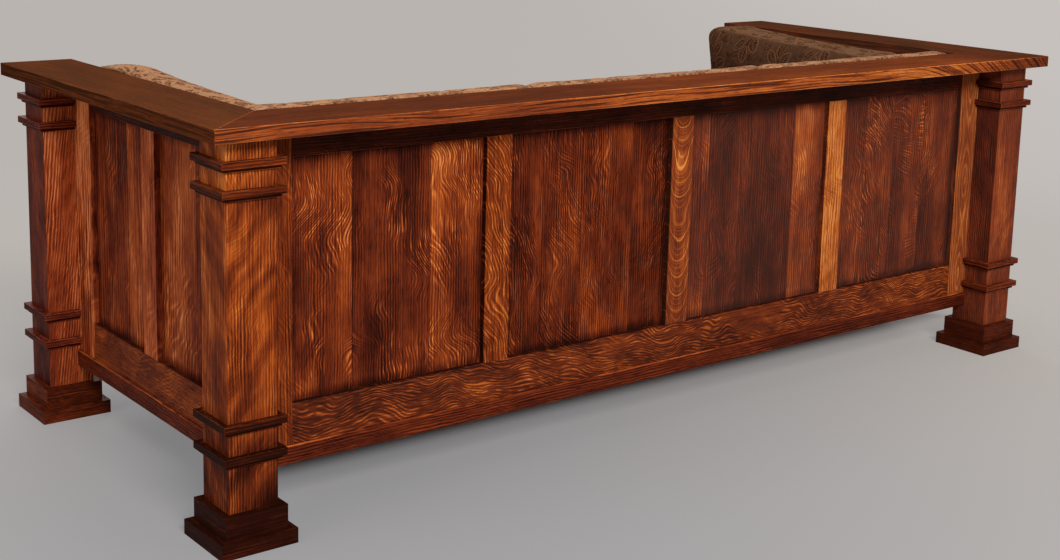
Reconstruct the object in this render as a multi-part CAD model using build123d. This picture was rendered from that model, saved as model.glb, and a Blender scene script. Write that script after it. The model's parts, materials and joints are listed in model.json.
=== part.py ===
from build123d import *
import os
from math import hypot

# A long settle in quartersawn oak: proud square posts on stepped plinths, framed and
# panelled back and ends, a flat mitred cap all round, a slatted deck and loose cushions.
# +Z is up, X runs along the settle, the back is at +Y and the seat opens towards -Y.
# The origin is on the floor under the middle of the cap.

# Overall sizes
length = 2190.0
depth = 950.0
height = 724.0

# Cap boards
cap_thick = 25.0
cap_width = 148.0
cap_overhang = 36.0
mitre_key_thick = 6.0
mitre_key_run = 46.0
mitre_key_reach = 22.0
mitre_key_start = 18.0

# Posts
post_width = 92.0
post_top_pin_radius = 16.0
post_top_pin_length = 15.0
post_foot_pin_radius = 14.0
post_foot_pin_length = 16.0
pin_end_gap = 1.0

# Plinth: a pad under each post and a collar round its foot
pad_height = 27.0
pad_proud = 25.0
collar_height = 41.0
collar_proud = 12.5

# Mouldings round the posts, each with a smaller step beneath it
band_step_height = 12.5
band_step_proud = 12.5
band_fillet_height = 6.5
band_fillet_proud = 6.0
band_upper_drop = 34.0
band_upper_pitch = 48.0
band_lower_top = 225.0
band_lower_pitch = 56.5

# Panelled frames between the posts
frame_thick = 28.0
frame_setback = 64.0
rail_low = 106.0
bottom_rail_height = 107.0
top_rail_height = 52.0
back_stile_width = 64.0
end_stile_width = 78.0
mullion_width = 58.0
back_panel_count = 4
end_panel_count = 2
panel_thick = 10.0
panel_recess = 12.0
panel_groove_depth = 10.0
panel_float = 1.5
tenon_length = 36.0
tenon_shoulder = 15.0
tenon_end_gap = 1.0
tongue_thick = 9.0
tongue_depth = 8.0
tongue_setback = 5.0
tongue_stop = 12.0

# Strip along the foot of each rail
strip_height = 33.0
strip_proud = 5.0
strip_ease = 2.0

# Front seat rail
seat_rail_height = 144.0

# Deck under the cushions
cleat_height = 40.0
cleat_thick = 24.0
slat_count = 11
slat_width = 104.0
slat_thick = 18.0
slat_end_gap = 2.0
bearer_height = 60.0
bearer_thick = 30.0
bearer_tenon_length = 12.0
bearer_tenon_height = 30.0
bearer_tenon_thick = 16.0
screw_radius = 2.4
screw_length = 42.0
screw_head_radius = 4.6
screw_head_height = 3.0
cleat_screws_each_half = 3

# Cushions
cushion_gap = 0.3
seat_cushion_height = 190.0
seat_cushion_crown = 15.0
seat_cushion_crown_run = 112.0
seat_cushion_corner = 26.0
back_cushion_thick = 150.0
back_cushion_drop = 1.4
back_cushion_crown = 20.0
arm_cushion_thick = 165.0
arm_cushion_length = 556.0
arm_cushion_rise = 1.6
arm_cushion_fall = 13.0
arm_cushion_crown = 14.0
standing_crown_run_share = 0.37
standing_corner_share = 0.086
cushion_draw = 5.0
cushion_edge = 16.0
cushion_wall_gap = 0.6
cushion_cap_gap = 1.0
cushion_count = 3

# How far a cushion's outline steps in from its fullest line at each level of its
# thickness: the plain face and the sides as shares of the edge, the crowned face as
# shares of the crown's run. A standing cushion's run and corners follow its height.
plain_levels_share = ((0.0, 0.75), (0.35, 0.3), (1.0, 0.02))
crown_levels_share = ((0.28, 0.143), (0.6, 0.371), (0.86, 0.686), (1.0, 1.0))

# Places worked out from the sizes above
cap_under = height - cap_thick
half_length = length / 2
half_depth = depth / 2
post_x_outer = half_length - cap_overhang
post_y_outer = half_depth - cap_overhang
post_x_inner = post_x_outer - post_width
post_y_inner = post_y_outer - post_width
end_face = post_x_outer - frame_setback
back_face = post_y_outer - frame_setback
panel_low = rail_low + bottom_rail_height
panel_high = cap_under - top_rail_height
cleat_top = panel_low
deck_top = cleat_top + slat_thick
room_x = end_face - frame_thick
room_y = back_face - frame_thick
cap_open_x = half_length - cap_width
cap_open_y = half_depth - cap_width


def block(xs, ys, zs):
    """A box between two values on each axis."""
    low = Vector(min(xs), min(ys), min(zs))
    size = Vector(max(xs), max(ys), max(zs)) - low
    return Pos(low) * Box(size.X, size.Y, size.Z, align=(Align.MIN, Align.MIN, Align.MIN))


def pin(x, y, zs, radius):
    """An upright cylinder between two heights."""
    return Pos(x, y, min(zs)) * Cylinder(
        radius, max(zs) - min(zs), align=(Align.CENTER, Align.CENTER, Align.MIN)
    )


def back_place(u, d, z):
    """A block in the back frame: u along X, d in from its outer face."""
    return block(u, (back_face - d[0], back_face - d[1]), z)


def front_place(u, d, z):
    return block(u, (d[0] - back_face, d[1] - back_face), z)


def right_place(u, d, z):
    return block((end_face - d[0], end_face - d[1]), u, z)


def left_place(u, d, z):
    return block((d[0] - end_face, d[1] - end_face), u, z)


def span(middle, width):
    return (middle - width / 2, middle + width / 2)


frame_depth = (0, frame_thick)
groove_depth_range = (panel_recess, panel_recess + panel_thick)
tongue_depth_range = (tongue_setback, tongue_setback + tongue_thick)


def panel_frame(name, place, half_span, stile_width, panel_count, names_of_stiles):
    """One framed and panelled wall between two posts, as its separate pieces."""
    pieces = {}
    inner = half_span - stile_width
    panel_width = (2 * inner - (panel_count - 1) * mullion_width) / panel_count
    groove_z = (panel_low - panel_groove_depth, panel_high + panel_groove_depth)
    low_tenon_z = (rail_low + tenon_shoulder, panel_low - panel_groove_depth)
    high_tenon_z = (panel_high + panel_groove_depth, cap_under - tenon_shoulder)

    for side, label in zip((-1, 1), names_of_stiles):
        outer, edge = side * half_span, side * inner
        stile = place((edge, outer), frame_depth, (rail_low, cap_under))
        stile += place(
            (outer, outer + side * tongue_depth),
            tongue_depth_range,
            (rail_low + tongue_stop, cap_under),
        )
        stile -= place((edge, edge + side * panel_groove_depth), groove_depth_range, groove_z)
        mortise = edge + side * (tenon_length + tenon_end_gap)
        for tenon_z in (low_tenon_z, high_tenon_z):
            stile -= place((edge, mortise), groove_depth_range, tenon_z)
        pieces[f"{name}_stile_{label}"] = stile

    rails = (
        ("bottom", (rail_low, panel_low), low_tenon_z, (panel_low - panel_groove_depth, panel_low)),
        ("top", (panel_high, cap_under), high_tenon_z, (panel_high, panel_high + panel_groove_depth)),
    )
    for label, rail_z, tenon_z, rail_groove_z in rails:
        rail = place((-inner, inner), frame_depth, rail_z)
        for side in (-1, 1):
            rail += place((side * inner, side * (inner + tenon_length)), groove_depth_range, tenon_z)
        rail -= place((-inner, inner), groove_depth_range, rail_groove_z)
        pieces[f"{name}_{label}_rail"] = rail

    for index in range(1, panel_count):
        middle = -inner + index * (panel_width + mullion_width) - mullion_width / 2
        sides = span(middle, mullion_width)
        mullion = place(sides, frame_depth, (panel_low, panel_high))
        mullion += place(sides, groove_depth_range, groove_z)
        for edge, inward in ((sides[0], 1), (sides[1], -1)):
            mullion -= place(
                (edge, edge + inward * panel_groove_depth), groove_depth_range, groove_z
            )
        suffix = f"_{index}" if panel_count > 2 else ""
        pieces[f"{name}_mullion{suffix}"] = mullion

    held = panel_groove_depth - panel_float
    for index in range(panel_count):
        start = -inner + index * (panel_width + mullion_width)
        pieces[f"{name}_panel_{index + 1}"] = place(
            (start - held, start + panel_width + held),
            groove_depth_range,
            (panel_low - held, panel_high + held),
        )
    return pieces


def foot_strip(place, half_span):
    """The proud strip along the foot of a rail, with its upper arris eased."""
    strip = place((-half_span, half_span), (-strip_proud, 0), (rail_low, rail_low + strip_height))
    outer_face = strip.faces().sort_by(lambda face: front_distance(face.center(), place))[-1]
    arris = outer_face.edges().sort_by(Axis.Z)[-1]
    return chamfer(arris, strip_ease)


def front_distance(point, place):
    """How far out of the settle a point lies, in the direction its frame faces."""
    axis = {back_place: point.Y, front_place: -point.Y, right_place: point.X, left_place: -point.X}
    return axis[place]


def post(side_x, side_y):
    """A corner post: pinned into its pad and the cap, grooved for the frames."""
    xs = (side_x * post_x_inner, side_x * post_x_outer)
    ys = (side_y * post_y_inner, side_y * post_y_outer)
    middle = (sum(xs) / 2, sum(ys) / 2)
    piece = block(xs, ys, (pad_height, cap_under))
    piece += pin(*middle, (cap_under, cap_under + post_top_pin_length), post_top_pin_radius)
    piece += pin(*middle, (pad_height - post_foot_pin_length, pad_height), post_foot_pin_radius)

    groove_z = (rail_low + tongue_stop, cap_under)
    end_place = right_place if side_x > 0 else left_place
    end_run = (side_y * post_y_inner, side_y * (post_y_inner + tongue_depth))
    piece -= end_place(end_run, tongue_depth_range, groove_z)
    if side_y > 0:
        run = (side_x * post_x_inner, side_x * (post_x_inner + tongue_depth))
        piece -= back_place(run, tongue_depth_range, groove_z)
    else:
        mortise_z = (rail_low + tenon_shoulder, rail_low + seat_rail_height - tenon_shoulder)
        run = (side_x * post_x_inner, side_x * (post_x_inner + tenon_length + tenon_end_gap))
        piece -= front_place(run, tongue_depth_range, mortise_z)
    return piece


def square_ring(side_x, side_y, proud, zs):
    """A square ring round a post, standing out from its faces."""
    middle_x = side_x * (post_x_inner + post_x_outer) / 2
    middle_y = side_y * (post_y_inner + post_y_outer) / 2
    outer = post_width + 2 * proud
    ring = block(span(middle_x, outer), span(middle_y, outer), zs)
    return ring - block(span(middle_x, post_width), span(middle_y, post_width), zs)


def bands(side_x, side_y):
    """The four stepped mouldings round a post, stopped where they meet the frames."""
    upper_top = cap_under - band_upper_drop
    tops = (
        upper_top,
        upper_top - band_upper_pitch,
        band_lower_top,
        band_lower_top - band_lower_pitch,
    )
    solids = []
    for top in tops:
        step_foot = top - band_step_height
        foot = step_foot - band_fillet_height
        ring = square_ring(side_x, side_y, band_step_proud, (step_foot, top))
        ring += square_ring(side_x, side_y, band_fillet_proud, (foot, step_foot))
        open_front = side_y < 0 and foot > rail_low + seat_rail_height
        stop_y = post_y_inner if open_front else back_face
        stop = block((0, side_x * end_face), (0, side_y * stop_y), (foot, top))
        solids.append(ring - stop)
    return solids


def plinth(side_x, side_y):
    """The solid pad that a post stands on, and the collar round the post's foot."""
    middle_x = side_x * (post_x_inner + post_x_outer) / 2
    middle_y = side_y * (post_y_inner + post_y_outer) / 2
    pad_size = post_width + 2 * pad_proud
    pad = block(span(middle_x, pad_size), span(middle_y, pad_size), (0, pad_height))
    hole_foot = pad_height - post_foot_pin_length - pin_end_gap
    pad -= pin(middle_x, middle_y, (hole_foot, pad_height), post_foot_pin_radius)
    collar = square_ring(side_x, side_y, collar_proud, (pad_height, pad_height + collar_height))
    return [pad, collar]


def slab(points, low, thick):
    """A flat board with the given outline."""
    outline = make_face(Polyline(*[(x, y, low) for x, y in points], close=True))
    return extrude(outline, thick, dir=(0, 0, 1))


def mitre_key(side_x):
    """The loose tongue that crosses a mitred corner, half way up the cap."""
    key_box = Box(mitre_key_run, 2 * mitre_key_reach, mitre_key_thick)
    along = mitre_key_start + mitre_key_run / 2
    corner = Pos(cap_open_x, cap_open_y, cap_under + cap_thick / 2) * Rot(0, 0, 45)
    key = corner * Pos(along, 0, 0) * key_box
    return key if side_x > 0 else mirror(key, about=Plane.YZ)


def cap_boards():
    """Two arm boards and the back board, mitred together and bored for the post pins."""
    arm = [
        (cap_open_x, -half_depth),
        (half_length, -half_depth),
        (half_length, half_depth),
        (cap_open_x, cap_open_y),
    ]
    back = [
        (-half_length, half_depth),
        (half_length, half_depth),
        (cap_open_x, cap_open_y),
        (-cap_open_x, cap_open_y),
    ]
    boards = {
        "cap_arm_right": slab(arm, cap_under, cap_thick),
        "cap_arm_left": slab([(-x, y) for x, y in arm], cap_under, cap_thick),
        "cap_back": slab(back, cap_under, cap_thick),
    }
    hole_z = (cap_under, cap_under + post_top_pin_length + pin_end_gap)
    cuts = [mitre_key(side) for side in (-1, 1)]
    for side_x in (-1, 1):
        for side_y in (-1, 1):
            middle_x = side_x * (post_x_inner + post_x_outer) / 2
            middle_y = side_y * (post_y_inner + post_y_outer) / 2
            cuts.append(pin(middle_x, middle_y, hole_z, post_top_pin_radius))
    for name in boards:
        for cut in cuts:
            boards[name] -= cut
    return boards


def screw(place):
    """A countersunk screw along -Z, its head flush at the place given."""
    head = Cone(
        screw_radius,
        screw_head_radius,
        screw_head_height,
        align=(Align.CENTER, Align.CENTER, Align.MAX),
    )
    shank = Cylinder(screw_radius, screw_length, align=(Align.CENTER, Align.CENTER, Align.MAX))
    return place * (head + shank)


def seat_deck():
    """Cleats, centre bearer, cross slats and their screws."""
    cleat_z = (cleat_top - cleat_height, cleat_top)
    cleats = [
        block((-room_x, room_x), (room_y - cleat_thick, room_y), cleat_z),
        block((-room_x, room_x), (-room_y, cleat_thick - room_y), cleat_z),
    ]
    bearer = block((-room_x, room_x), span(0, bearer_thick), (cleat_top - bearer_height, cleat_top))
    tenon_z = span(cleat_top - bearer_height / 2, bearer_tenon_height)
    tenon_x = room_x + bearer_tenon_length
    bearer += block((-tenon_x, tenon_x), span(0, bearer_tenon_thick), tenon_z)

    slat_run = room_y - slat_end_gap
    pitch = (2 * room_x - slat_width) / (slat_count - 1)
    slats, screws = [], []
    for index in range(slat_count):
        middle = -room_x + slat_width / 2 + index * pitch
        slats.append(block(span(middle, slat_width), (-slat_run, slat_run), (cleat_top, deck_top)))
        for side in (-1, 1):
            screws.append(screw(Pos(middle, side * (room_y - cleat_thick / 2), deck_top)))
    cleat_screw_places = [(1 / 2 + 2 * index) * pitch for index in range(cleat_screws_each_half)]
    for place in cleat_screw_places + [-place for place in cleat_screw_places]:
        for side, turn in ((1, 90), (-1, -90)):
            head = Pos(place, side * (room_y - cleat_thick), cleat_top - cleat_height / 2)
            screws.append(screw(head * Rot(turn, 0, 0)))
    return cleats, bearer, slats, screws


def quad_outline(corners, inset, radius, draw, stands):
    """A four-sided outline with rounded corners and sides that are drawn in.

    Each edge comes as its kind and its points. The side that it stands on is straight.
    """
    count = len(corners)
    moved = []
    for index, corner in enumerate(corners):
        before = unit_vector(corner, corners[index - 1])
        after = unit_vector(corner, corners[(index + 1) % count])
        moved.append(
            (corner[0] + inset * (before[0] + after[0]), corner[1] + inset * (before[1] + after[1]))
        )
    edges = []
    for index, corner in enumerate(moved):
        nxt = moved[(index + 1) % count]
        to_before = unit_vector(corner, moved[index - 1])
        to_next = unit_vector(corner, nxt)
        start = (corner[0] + radius * to_before[0], corner[1] + radius * to_before[1])
        end = (corner[0] + radius * to_next[0], corner[1] + radius * to_next[1])
        ease = 1 - 1 / 2**0.5
        bend = (
            corner[0] + radius * ease * (to_before[0] + to_next[0]),
            corner[1] + radius * ease * (to_before[1] + to_next[1]),
        )
        edges.append((ThreePointArc, (start, bend, end)))
        far = (nxt[0] - radius * to_next[0], nxt[1] - radius * to_next[1])
        if stands and index == 0:
            edges.append((Line, (end, far)))
            continue
        side_middle = ((end[0] + far[0]) / 2, (end[1] + far[1]) / 2)
        pulled = (
            side_middle[0] - draw * to_next[1],
            side_middle[1] + draw * to_next[0],
        )
        edges.append((ThreePointArc, (end, pulled, far)))
    return edges


def unit_vector(start, end):
    run = hypot(end[0] - start[0], end[1] - start[1])
    return ((end[0] - start[0]) / run, (end[1] - start[1]) / run)


def cushion(corners, thick, crown, run, corner, plane, stands=True):
    """A stuffed cushion: its outline on the plane, plain behind and crowned in front.

    The corners run anticlockwise seen from the crowned side. One that stands on edge is
    straight along its first side.
    """
    sides = thick - crown - 2 * cushion_edge
    levels = []
    for share, inset_share in plain_levels_share:
        levels.append((share * cushion_edge, inset_share * cushion_edge))
    levels.append((cushion_edge + sides / 2, 0))
    front = thick - crown - cushion_edge
    levels.append((front, plain_levels_share[-1][1] * cushion_edge))
    rise = crown + cushion_edge
    for share, inset_share in crown_levels_share:
        levels.append((front + share * rise, inset_share * run))
    faces = []
    for level, inset in levels:
        level_plane = plane.offset(level)
        edges = []
        for kind, points in quad_outline(corners, inset, corner, cushion_draw, stands):
            edges.append(kind(*[level_plane.from_local_coords(Vector(*point, 0)) for point in points]))
        faces.append(Face(Wire(edges)))
    return loft(faces, ruled=True)


def rectangle(xs, ys):
    return [(xs[0], ys[0]), (xs[1], ys[0]), (xs[1], ys[1]), (xs[0], ys[1])]


def cushions():
    """Three seat cushions, three back cushions standing on them, and one at each arm."""
    pieces = {}
    names = ("left", "middle", "right")
    seat_foot = deck_top + cushion_gap
    seat_top = seat_foot + seat_cushion_height
    seat_pitch = 2 * room_x / cushion_count
    back_plane_y = cap_open_y - cushion_cap_gap
    back_foot = seat_top + cushion_gap
    back_top = height - back_cushion_drop
    back_stand = back_top - back_foot
    for index, name in enumerate(names):
        seat_ends = (index * seat_pitch - room_x, (index + 1) * seat_pitch - room_x)
        seat = rectangle(
            (seat_ends[0] + cushion_wall_gap, seat_ends[1] - cushion_wall_gap),
            (cushion_wall_gap - room_y, room_y - cushion_wall_gap),
        )
        pieces[f"seat_cushion_{name}"] = cushion(
            seat,
            seat_cushion_height,
            seat_cushion_crown,
            seat_cushion_crown_run,
            seat_cushion_corner,
            Plane.XY.offset(seat_foot),
            False,
        )
        back_reach = cap_open_x - cushion_cap_gap
        back = rectangle(
            (
                max(seat_ends[0] + cushion_wall_gap, -back_reach),
                min(seat_ends[1] - cushion_wall_gap, back_reach),
            ),
            (back_foot, back_top),
        )
        back_plane = Plane(origin=(0, back_plane_y, 0), x_dir=(1, 0, 0), z_dir=(0, -1, 0))
        pieces[f"back_cushion_{name}"] = cushion(
            back,
            back_cushion_thick,
            back_cushion_crown,
            standing_crown_run_share * back_stand,
            standing_corner_share * back_stand,
            back_plane,
        )
    arm_back = back_plane_y - back_cushion_thick - cushion_gap
    arm_front = arm_back - arm_cushion_length
    arm_x = cap_open_x - cushion_cap_gap
    arm_top = height + arm_cushion_rise
    arm_stand = arm_top - arm_cushion_fall - back_foot
    for side, name in ((-1, "left"), (1, "right")):
        if side > 0:
            plane = Plane(origin=(arm_x, 0, 0), x_dir=(0, -1, 0), z_dir=(-1, 0, 0))
            ends = (-arm_back, -arm_front)
            tops = (arm_top - arm_cushion_fall, arm_top)
        else:
            plane = Plane(origin=(-arm_x, 0, 0), x_dir=(0, 1, 0), z_dir=(1, 0, 0))
            ends = (arm_front, arm_back)
            tops = (arm_top, arm_top - arm_cushion_fall)
        corners = [
            (ends[0], back_foot),
            (ends[1], back_foot),
            (ends[1], tops[1]),
            (ends[0], tops[0]),
        ]
        pieces[f"arm_cushion_{name}"] = cushion(
            corners,
            arm_cushion_thick,
            arm_cushion_crown,
            standing_crown_run_share * arm_stand,
            standing_corner_share * arm_stand,
            plane,
        )
    return pieces


nodes = {}
nodes.update(panel_frame("back", back_place, post_x_inner, back_stile_width, back_panel_count,
                         ("left", "right")))
nodes.update(panel_frame("end_left", left_place, post_y_inner, end_stile_width, end_panel_count,
                         ("front", "back")))
nodes.update(panel_frame("end_right", right_place, post_y_inner, end_stile_width, end_panel_count,
                         ("front", "back")))
nodes["back_foot_strip"] = foot_strip(back_place, post_x_inner)
nodes["end_left_foot_strip"] = foot_strip(left_place, post_y_inner)
nodes["end_right_foot_strip"] = foot_strip(right_place, post_y_inner)
nodes["front_foot_strip"] = foot_strip(front_place, post_x_inner)

seat_rail_z = (rail_low, rail_low + seat_rail_height)
seat_rail = front_place((-post_x_inner, post_x_inner), frame_depth, seat_rail_z)
rail_tenon_x = post_x_inner + tenon_length
seat_rail += front_place(
    (-rail_tenon_x, rail_tenon_x),
    tongue_depth_range,
    (seat_rail_z[0] + tenon_shoulder, seat_rail_z[1] - tenon_shoulder),
)
nodes["front_seat_rail"] = seat_rail

for side_y, row in ((-1, "front"), (1, "back")):
    for side_x, hand in ((-1, "left"), (1, "right")):
        nodes[f"post_{row}_{hand}"] = post(side_x, side_y)
        nodes[f"post_bands_{row}_{hand}"] = bands(side_x, side_y)
        nodes[f"plinth_{row}_{hand}"] = plinth(side_x, side_y)

nodes.update(cap_boards())
nodes["cap_mitre_keys"] = [mitre_key(side) for side in (-1, 1)]

cleats, bearer, slats, screws = seat_deck()
bearer_mortise = block(
    (-(room_x + bearer_tenon_length + tenon_end_gap), room_x + bearer_tenon_length + tenon_end_gap),
    span(0, bearer_tenon_thick),
    span(cleat_top - bearer_height / 2, bearer_tenon_height),
)
for hand in ("left", "right"):
    nodes[f"end_{hand}_bottom_rail"] -= bearer_mortise
for drilled in screws:
    nodes["back_bottom_rail"] -= drilled
    nodes["front_seat_rail"] -= drilled
    cleats = [cleat - drilled for cleat in cleats]
    slats = [slat - drilled for slat in slats]
nodes["deck_cleats"] = cleats
nodes["deck_bearer"] = bearer
nodes["deck_slats"] = slats
nodes["deck_screws"] = screws
nodes.update(cushions())

os.makedirs("parts", exist_ok=True)
for name, made in nodes.items():
    solids = made if isinstance(made, list) else [made]
    flat = [solid for shape in solids for solid in shape.solids()]
    shape = flat[0] if len(flat) == 1 else Compound(children=flat)
    shape.label = name
    export_step(shape, f"parts/{name}.step")
    box = shape.bounding_box()
    print(f"{name:28s} {len(flat):2d} solids  z {box.min.Z:7.1f} to {box.max.Z:7.1f}")
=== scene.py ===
import json
import math
from functools import partialmethod, reduce
import bmesh
import bpy
import numpy as np
from mathutils import Matrix, Vector
from mathutils.bvhtree import BVHTree
from mathutils.kdtree import KDTree


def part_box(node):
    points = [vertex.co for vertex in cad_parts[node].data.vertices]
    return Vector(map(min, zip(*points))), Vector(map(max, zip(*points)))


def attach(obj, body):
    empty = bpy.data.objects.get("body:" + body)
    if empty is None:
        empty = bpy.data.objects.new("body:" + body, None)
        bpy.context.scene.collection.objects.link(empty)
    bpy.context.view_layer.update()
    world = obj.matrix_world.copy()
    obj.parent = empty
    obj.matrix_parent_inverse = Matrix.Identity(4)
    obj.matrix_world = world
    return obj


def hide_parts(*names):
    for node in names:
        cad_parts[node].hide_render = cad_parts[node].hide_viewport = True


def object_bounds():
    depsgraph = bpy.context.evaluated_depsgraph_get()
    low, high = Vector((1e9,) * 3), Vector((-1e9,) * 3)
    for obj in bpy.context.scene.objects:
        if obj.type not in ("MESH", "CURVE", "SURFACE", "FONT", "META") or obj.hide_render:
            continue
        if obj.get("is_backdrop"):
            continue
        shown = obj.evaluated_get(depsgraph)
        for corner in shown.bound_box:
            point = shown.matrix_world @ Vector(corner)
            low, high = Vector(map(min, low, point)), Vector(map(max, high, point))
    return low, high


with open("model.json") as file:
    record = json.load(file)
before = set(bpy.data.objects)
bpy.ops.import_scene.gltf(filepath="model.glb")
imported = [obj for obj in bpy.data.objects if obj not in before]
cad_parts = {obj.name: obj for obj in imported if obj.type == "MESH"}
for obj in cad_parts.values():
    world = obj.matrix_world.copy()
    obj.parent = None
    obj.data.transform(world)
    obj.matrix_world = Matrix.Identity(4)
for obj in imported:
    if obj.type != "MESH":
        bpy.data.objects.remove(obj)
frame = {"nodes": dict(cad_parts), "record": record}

# Oak settle with loose cushions. Metres, +Z up, the back at +Y, the seat opens towards -Y.
nodes = frame["nodes"]
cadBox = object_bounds()
print("settle: frame loaded,", len(nodes), "nodes")


def paint(red, green, blue):
    # a colour as a paint chart gives it, 0 to 255, turned into Blender's linear values
    shares = [value / 255 for value in (red, green, blue)]
    return tuple(s / 12.92 if s <= 0.04045 else ((s + 0.055) / 1.055) ** 2.4 for s in shares) + (1.0,)


class Signal:
    # one output socket of a shader node, which can be used in sums
    def __init__(self, finish, socket):
        self.finish = finish
        self.socket = socket

    def maths(self, operation, *others):
        return self.finish.add("ShaderNodeMath", {"operation": operation}, dict(enumerate((self,) + others)))

    __add__ = __radd__ = partialmethod(maths, "ADD")
    __mul__ = __rmul__ = partialmethod(maths, "MULTIPLY")
    __sub__ = partialmethod(maths, "SUBTRACT")
    __truediv__ = partialmethod(maths, "DIVIDE")
    __abs__ = partialmethod(maths, "ABSOLUTE")
    above = partialmethod(maths, "GREATER_THAN")
    atLeast = partialmethod(maths, "MAXIMUM")
    atMost = partialmethod(maths, "MINIMUM")
    sine = partialmethod(maths, "SINE")
    cosine = partialmethod(maths, "COSINE")
    root = partialmethod(maths, "SQRT")
    floor = partialmethod(maths, "FLOOR")
    fraction = partialmethod(maths, "FRACT")

    def __rsub__(self, other):
        return (self * -1.0) + other

    def eased(self, low, high):
        # 0 below low, 1 above high, smooth between them
        return self.finish.add(
            "ShaderNodeMapRange", {"interpolation_type": "SMOOTHSTEP"},
            {0: self, 1: low, 2: high, 3: 0.0, 4: 1.0},
        )


class Finish:
    # the nodes of a material, or of the world
    def __init__(self, owner):
        self.material = bpy.data.materials.new(owner) if isinstance(owner, str) else owner
        self.material.use_nodes = True
        self.tree = self.material.node_tree
        self.shader = self.tree.nodes.get("Principled BSDF") or self.tree.nodes["Background"]

    def add(self, kind, settings=None, inputs=None, output=0):
        node = self.tree.nodes.new(kind)
        for key, value in (settings or {}).items():
            if key == "stops":
                ramp = node.color_ramp
                for spot, colour in value[2:]:
                    ramp.elements.new(spot)
                for element, (spot, colour) in zip(ramp.elements, sorted(value, key=lambda stop: stop[0])):
                    element.position = spot
                    element.color = colour
            elif key == "steps":
                node.color_ramp.interpolation = value
            else:
                setattr(node, key, value)
        for key, value in (inputs or {}).items():
            self.join(node.inputs[key], value)
        return Signal(self, node.outputs[output])

    def join(self, socket, value):
        if isinstance(value, Signal):
            self.tree.links.new(value.socket, socket)
        else:
            socket.default_value = value

    def mix(self, share, first, second, blend="MIX"):
        settings = {"data_type": "RGBA", "blend_type": blend}
        return self.add("ShaderNodeMix", settings, {0: share, 6: first, 7: second}, 2)

    def mixShaders(self, share, first, second):
        return self.add("ShaderNodeMixShader", {}, {0: share, 1: first, 2: second})

    def ramp(self, stops, share):
        return self.add("ShaderNodeValToRGB", {"stops": stops}, {0: share})

    def parts(self, kind, inputs=None):
        # every output of a node
        return [Signal(self, out) for out in self.add(kind, {}, inputs).socket.node.outputs]

    def noise(self, spot, rates, detail=1.0, rough=0.5):
        # rates: how fast it changes along each of the three coordinates, per metre
        vector = self.add("ShaderNodeCombineXYZ", {}, dict(enumerate(spot)))
        place = self.add("ShaderNodeVectorMath", {"operation": "MULTIPLY"}, {0: vector, 1: rates})
        return self.add(
            "ShaderNodeTexNoise", {"noise_dimensions": "3D"},
            {"Vector": place, "Scale": 1.0, "Detail": detail, "Roughness": rough},
        )

    def place(self):
        return self.parts("ShaderNodeSeparateXYZ", {0: self.add("ShaderNodeTexCoord", output=3)})

    def facing(self):
        # how far the surface faces along X, Y and Z, without sign
        facing = self.add("ShaderNodeTexCoord", output=1)
        return [abs(part) for part in self.parts("ShaderNodeSeparateXYZ", {0: facing})]

    def bump(self, strength, distance, height):
        inputs = {"Strength": strength, "Distance": distance, "Height": height}
        return self.add("ShaderNodeBump", {}, inputs)

    def surface(self, **values):
        for name, value in values.items():
            self.join(self.shader.inputs[name.replace("_", " ")], value)


# The oak. Lengths are in metres, leans in degrees from the grain.
stainStops = [
    (0.0, paint(34, 11, 5)), (1.0, paint(222, 140, 68)), (0.22, paint(70, 25, 11)),
    (0.42, paint(104, 42, 17)), (0.58, paint(134, 59, 21)), (0.78, paint(174, 88, 33)),
]
oakLook = {
    "tone": 0.5,            # how light the stain is over the whole piece
    "turned": (0, 0, 0),    # painted light and shade, added where a face looks along X, Y or Z
    "lineGap": 0.0056,      # from one growth line to the next
    "lineDepth": 0.17,
    "grainGap": 0.0021,     # the finer streaks between them
    "grainLean": 0.0,
    "grainDepth": 0.7,
    "mottle": 0.35,         # blotches a few centimetres across
    "poreDepth": 0.22,
    "drift": 0.010,         # how far the lines wander
    "cloud": 0.5,           # slow changes of tone
    "flecks": 1.0,          # how strongly the rays show
    "fleckLean": 24.0,
    "fleckLength": 0.034,
    "fleckGap": 0.0064,     # from one ray to the next
    "fleckBend": 0.150,
    "fleckPatch": 0.46,     # lower: the rays cover more of the face
    "watered": 0.0,         # broad soft bands across the grain
    "wateredLean": -45.0,
    "tilt": 0.35,           # how the growth lines slope through the thickness
    "redness": 0.0,
    "dust": 0.0,            # how far a painted haze of reflected light greys the whole piece
    "roughness": 0.44,
    "sheen": 0.03,          # how much the varnish mirrors
    "worn": 0.24,           # how light the arrises are, from wear and a painted highlight
    "boards": None,         # glued boards: start as a share of the width, tone, rays, lean of the rays
    "rim": 0.0,             # how far dark stain and painted shade creep in from the edges
    "shades": (),           # painted shade fading along an axis, painted light where the amount is below zero: axis, where it is full, where it ends, how much
    "bloom": (0.0, 0.0),    # how far a painted sheen greys the edges, and the faces that look up
    "shape": "rays",
    "layers": None,         # a function that adds something of the piece's own
}
glueLine = 0.0011           # half the width of the dark line between two glued boards
# the grey of a painted sheen on the edges and on faces that look up
sheenHazeColour = paint(106, 72, 47)
redWash = (1.0, 0.80, 2.2, 1.0)
# the grey of a painted haze of reflected light
reflectedHazeColour = paint(112, 74, 63)


def woodAxes(finish, grain, thin, shift):
    # coordinates along the grain, across the face and through the thickness
    x, y, z = finish.place()
    axes = {"x": x, "y": y, "z": z}
    if thin in axes:
        across = next(axes[name] for name in "xyz" if name not in (grain, thin))
        return axes[grain] + shift, across + shift * 0.37, axes[thin] + shift * 0.11
    facingX, facingY, facingZ = finish.facing()
    onBack = (facingY - facingX).above(0.0)
    flat = onBack * x + (1.0 - onBack) * y
    through = onBack * y + (1.0 - onBack) * x
    if grain == "z":
        return z + onBack * 2.7 + shift, flat + shift * 0.37, through + shift * 0.11
    return flat + onBack * 2.7 + shift, z + shift * 0.37, through + shift * 0.11


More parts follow.
